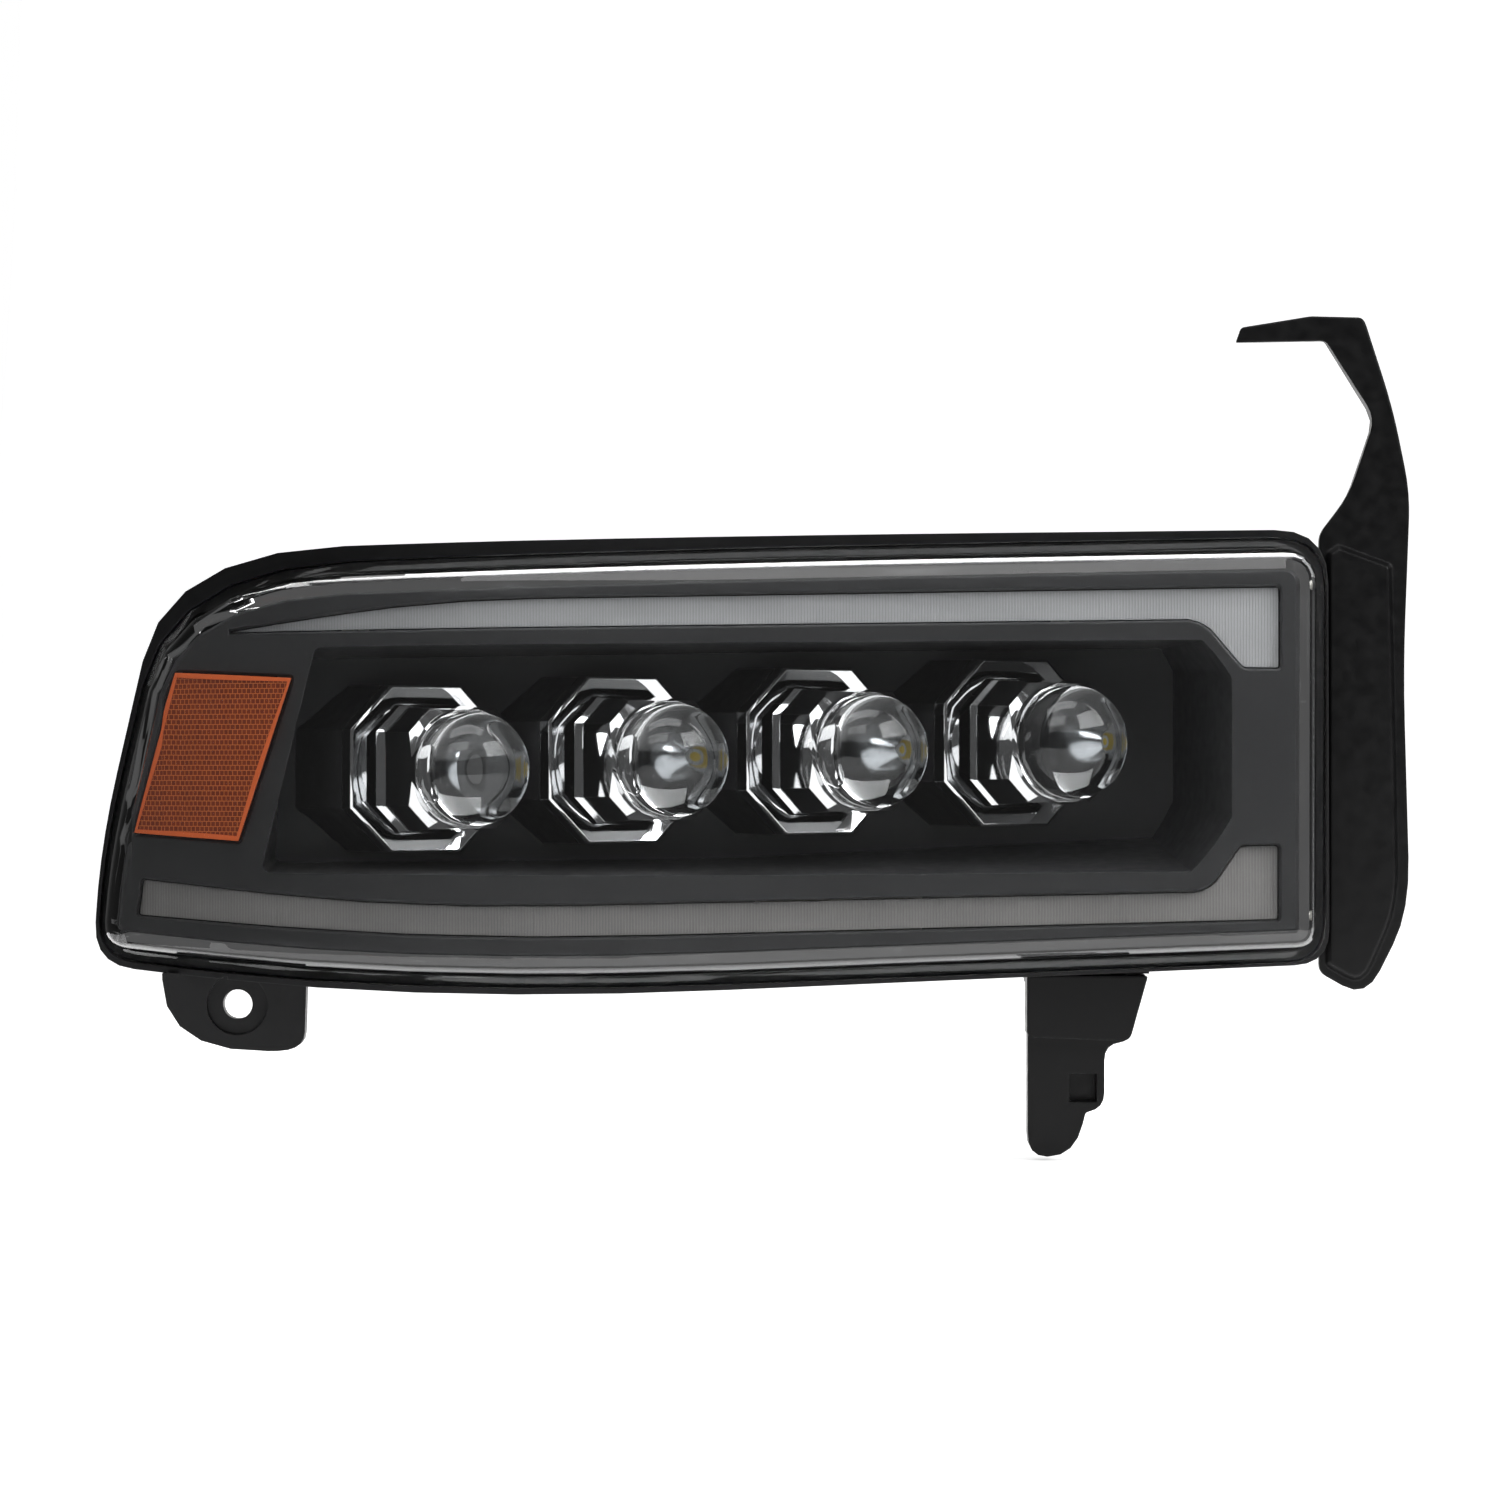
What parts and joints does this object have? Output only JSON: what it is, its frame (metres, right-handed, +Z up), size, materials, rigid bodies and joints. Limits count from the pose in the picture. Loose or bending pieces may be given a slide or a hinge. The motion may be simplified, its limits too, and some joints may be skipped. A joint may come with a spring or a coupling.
{
  "type": "car headlight assembly",
  "caption": "Wide one-piece car headlight with octagon-ringed projectors, light bars, amber side reflector, tilting projector carrier, twist-off rear caps and body brackets.",
  "frame": {"origin": "centre of the flat datum pad on the back of the housing, which rests on the car's panel", "axes": "+X towards the middle of the car, along the headlight's width; +Y out of the back of the housing; +Z up. The clear cover faces -Y."},
  "size_m": [0.4986, 0.165, 0.314],
  "materials": {
    "black_plastic": "satin moulded black",
    "gloss_black_plastic": "gloss moulded black",
    "clear_polycarbonate": "clear, hard coated",
    "frosted_acrylic": "frosted, finely ribbed",
    "amber_plastic": "transparent amber with prism cells",
    "chrome_plating": "mirror plated",
    "lens_glass": "polished clear",
    "cast_aluminium": "as cast",
    "zinc_steel": "zinc plated",
    "black_rubber": "matt",
    "circuit_board": "white solder mask",
    "natural_nylon": "natural, unpainted"
  },
  "bodies": {
    "headlight": {"adjuster_bracket": "natural_nylon", "bezel": "gloss_black_plastic", "bracket_screw_1": "zinc_steel", "bracket_screw_2": "zinc_steel", "driver_module": "cast_aluminium", "driver_screw_1": "zinc_steel", "driver_screw_2": "zinc_steel", "harness_grommet": "black_rubber", "housing": "black_plastic", "inboard_bracket": "black_plastic", "lens_seal": "black_rubber", "lower_bracket": "black_plastic", "lower_bracket_screw_1": "zinc_steel", "lower_bracket_screw_2": "zinc_steel", "lower_led_board": "circuit_board", "lower_light_guide": "frosted_acrylic", "outer_lens": "clear_polycarbonate", "pivot_stud_1": "zinc_steel", "pivot_stud_2": "zinc_steel", "side_marker_board": "circuit_board", "side_reflector": "amber_plastic", "trim_ring_1": "chrome_plating", "trim_ring_2": "chrome_plating", "trim_ring_3": "chrome_plating", "trim_ring_4": "chrome_plating", "upper_led_board": "circuit_board", "upper_light_guide": "frosted_acrylic", "vent_cap": "black_rubber"},
    "projector_carrier": {"carrier_frame": "black_plastic", "pivot_socket_1": "natural_nylon", "pivot_socket_2": "natural_nylon", "adjuster_socket": "natural_nylon", "lens_holder_1": "chrome_plating", "projector_lens_1": "lens_glass", "reflector_bowl_1": "chrome_plating", "emitter_board_1": "circuit_board", "heat_sink_1": "cast_aluminium", "lens_holder_2": "chrome_plating", "projector_lens_2": "lens_glass", "reflector_bowl_2": "chrome_plating", "emitter_board_2": "circuit_board", "heat_sink_2": "cast_aluminium", "lens_holder_3": "chrome_plating", "projector_lens_3": "lens_glass", "reflector_bowl_3": "chrome_plating", "emitter_board_3": "circuit_board", "heat_sink_3": "cast_aluminium", "lens_holder_4": "chrome_plating", "projector_lens_4": "lens_glass", "reflector_bowl_4": "chrome_plating", "emitter_board_4": "circuit_board", "heat_sink_4": "cast_aluminium"},
    "screw": {"adjuster_screw": "zinc_steel"},
    "gear_nut": {"adjuster_gear": "natural_nylon"},
    "pinion": {"adjuster_pinion": "natural_nylon"},
    "outboard_rear_cap": {"outboard_cap": "black_plastic", "outboard_cap_seal": "black_rubber"},
    "inboard_rear_cap": {"inboard_cap": "black_plastic", "inboard_cap_seal": "black_rubber"}
  },
  "joints": [
    {"name": "carrier_tilt", "type": "hinge", "parent": "headlight", "child": "projector_carrier", "pos_m": [0, -0.06, 0.045], "axis": [1, 0, 0], "range_deg": [-2.5, 2.5]},
    {"name": "adjuster_screw_slide", "type": "slide", "parent": "headlight", "child": "screw", "axis": [0, 1, 0], "range_m": [-0.0041, 0.0041]},
    {"name": "adjuster_gear_spin", "type": "hinge", "parent": "headlight", "child": "gear_nut", "pos_m": [0.03, -0.042, -0.045], "axis": [0, 1, 0], "range_deg": [-720, 720]},
    {"name": "adjuster_pinion_spin", "type": "hinge", "parent": "headlight", "child": "pinion", "pos_m": [0.057, -0.042, -0.045], "axis": [0, 1, 0], "range_deg": [-1440, 1440]},
    {"name": "outboard_cap_twist", "type": "hinge", "parent": "headlight", "child": "outboard_rear_cap", "pos_m": [-0.1, -0.014, 0], "axis": [0, 1, 0], "range_deg": [0, 40]},
    {"name": "inboard_cap_twist", "type": "hinge", "parent": "headlight", "child": "inboard_rear_cap", "pos_m": [0.072, -0.014, 0], "axis": [0, 1, 0], "range_deg": [0, 40]}
  ],
  "couplings": [
    {"joint": "adjuster_screw_slide", "follows": "carrier_tilt", "m_per_rad": 0.09},
    {"joint": "adjuster_gear_spin", "follows": "carrier_tilt", "ratio": 282.74},
    {"joint": "adjuster_pinion_spin", "follows": "carrier_tilt", "ratio": -565.49}
  ]
}
